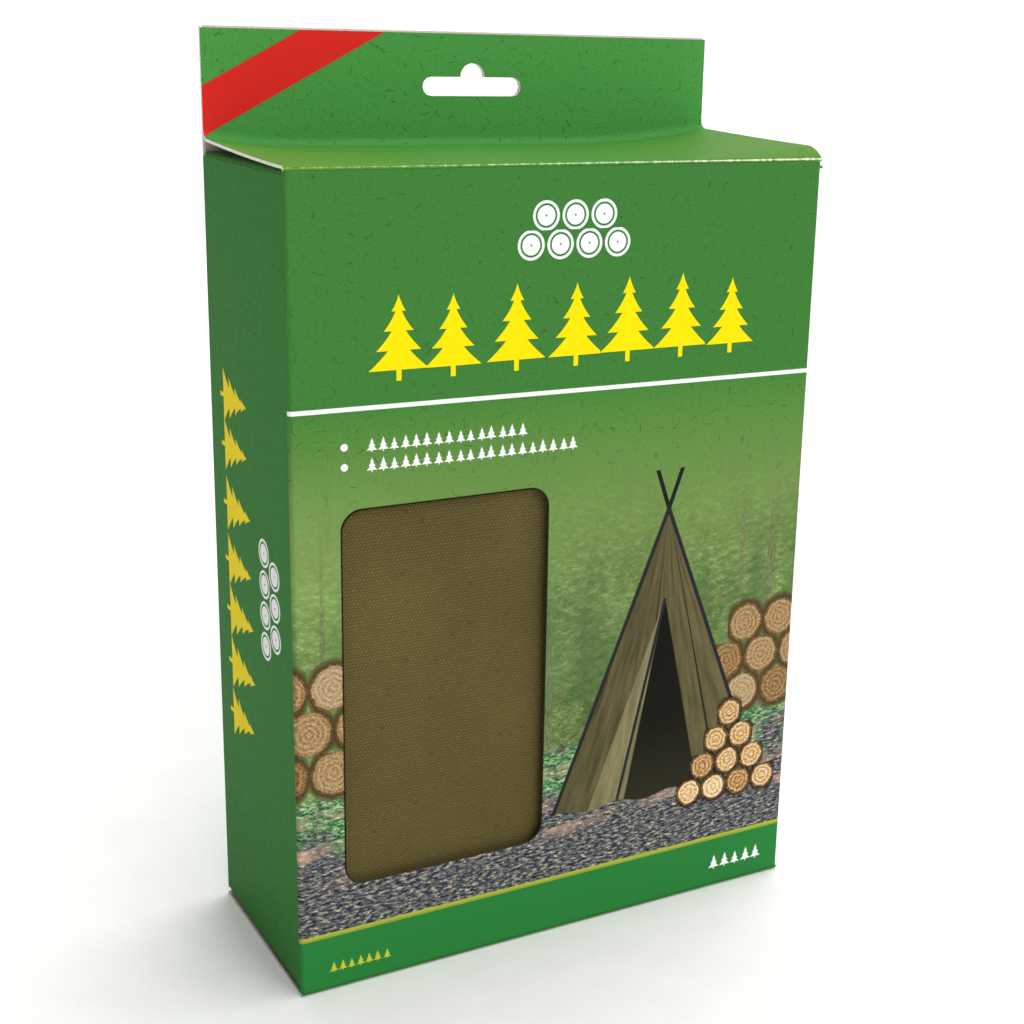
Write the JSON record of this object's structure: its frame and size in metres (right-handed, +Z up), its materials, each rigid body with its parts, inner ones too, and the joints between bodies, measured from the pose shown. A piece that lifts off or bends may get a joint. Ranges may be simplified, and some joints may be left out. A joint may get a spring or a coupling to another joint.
{
  "type": "folded canvas log carrier in a window carton",
  "caption": "Canvas log carrier with webbing handles, folded flat in an upright board carton with a window in its front and a hang tab on top.",
  "frame": {"origin": "middle of the carton's base, on the surface it stands on", "axes": "+Z up, the carton's front with its window faces -Y, +X to the right as seen from the front"},
  "size_m": [0.165, 0.066, 0.2636],
  "materials": {
    "board": "printed and varnished folding board, satin",
    "canvas": "olive cotton duck, matte",
    "tape": "woven black binding tape",
    "webbing": "woven black webbing"
  },
  "bodies": {
    "root": {"carton_sleeve": "board", "top_panel_and_tab": "board", "top_dust_flap_left": "board", "top_dust_flap_right": "board", "base_panel": "board", "base_inner_panel": "board", "base_dust_flap_left": "board", "base_dust_flap_right": "board", "folded_canvas": "canvas", "edge_tape_inner": "tape", "edge_tape_outer": "tape", "webbing_strap_left": "webbing", "webbing_strap_right": "webbing", "rear_handle_cross": "webbing", "front_handle_cross": "webbing", "grip_wrap": "canvas"}
  },
  "joints": []
}
